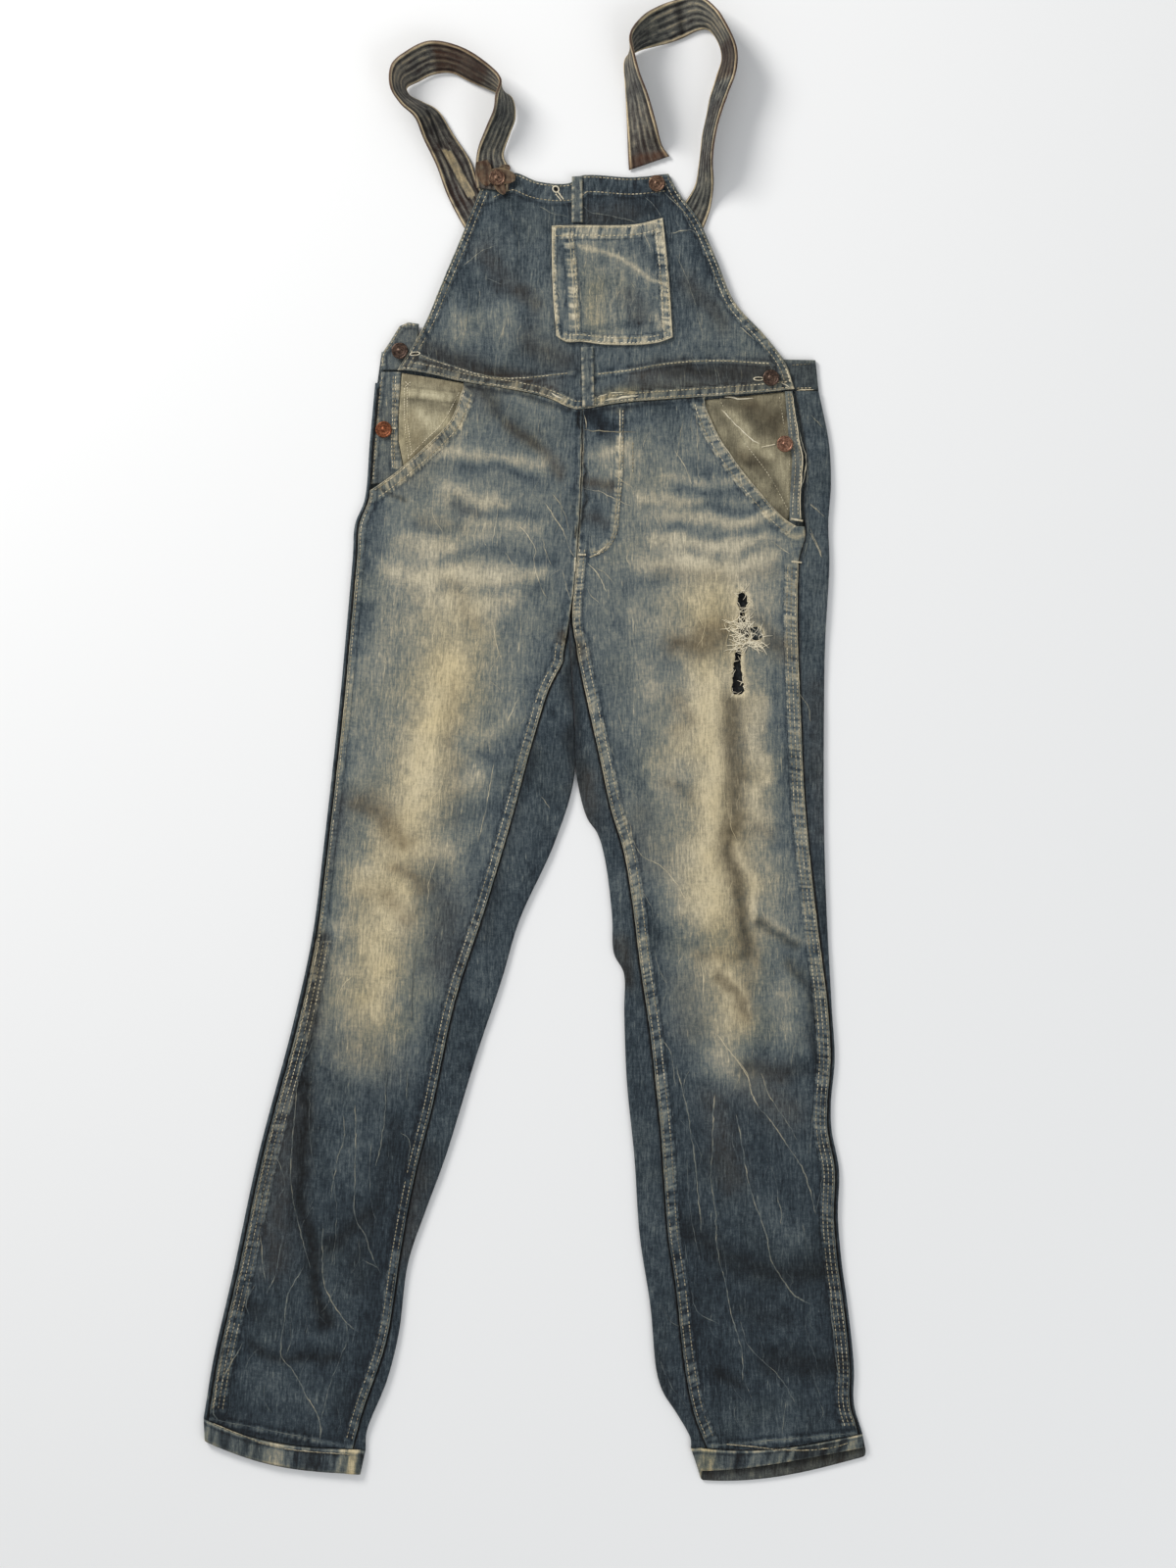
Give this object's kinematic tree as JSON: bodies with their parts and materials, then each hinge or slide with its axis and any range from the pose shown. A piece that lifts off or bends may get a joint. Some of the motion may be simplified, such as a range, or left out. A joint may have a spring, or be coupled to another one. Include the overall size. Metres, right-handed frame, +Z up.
{
  "type": "paint spattered dungarees",
  "caption": "Worn blue denim dungarees laid out flat, front up, with a bib, pockets, looped shoulder straps, side buttons and a ripped thigh.",
  "frame": {"origin": "on the surface the garment lies on, under the middle of its whole outline from the hems to the top of the straps", "axes": "+X towards the wearer's left side, +Y from the hems towards the bib and straps, +Z up from the surface, away from the garment's back"},
  "size_m": [0.621, 1.39, 0.0336],
  "materials": {
    "denim_leg": "washed blue-grey denim with cream and tan fades, pale slub scratches and brown dirt",
    "denim_back": "darker washed denim, less worn than the front",
    "denim_bib": "dark slate blue washed denim with pale scratches",
    "denim_pocket": "grey-cream worn denim with roped, faded seams",
    "facing": "pale tan worn pocket facing cloth",
    "strap": "dark denim strap with pale piped ridges and rust-brown edges",
    "button": "tarnished copper-brown metal, worn and slightly rusted"
  },
  "bodies": {
    "root": {"front_leg_right": "denim_leg", "front_leg_left": "denim_leg", "hem_right": "denim_leg", "hem_left": "denim_leg", "side_placket_right": "denim_leg", "side_placket_left": "denim_leg", "back_leg_right": "denim_back", "back_leg_left": "denim_back", "back_waistband": "denim_back", "back_yoke": "denim_back", "waist_tab_right": "denim_back", "bib": "denim_bib", "bib_placket_top": "denim_bib", "bib_placket_low": "denim_bib", "bib_pocket": "denim_pocket", "pocket_facing_right": "facing", "pocket_facing_left": "facing", "strap_right": "strap", "strap_left": "strap", "button_bib_right": "button", "button_bib_left": "button", "button_waist_right": "button", "button_waist_left": "button", "button_hip_right": "button", "button_hip_left": "button"}
  },
  "joints": []
}
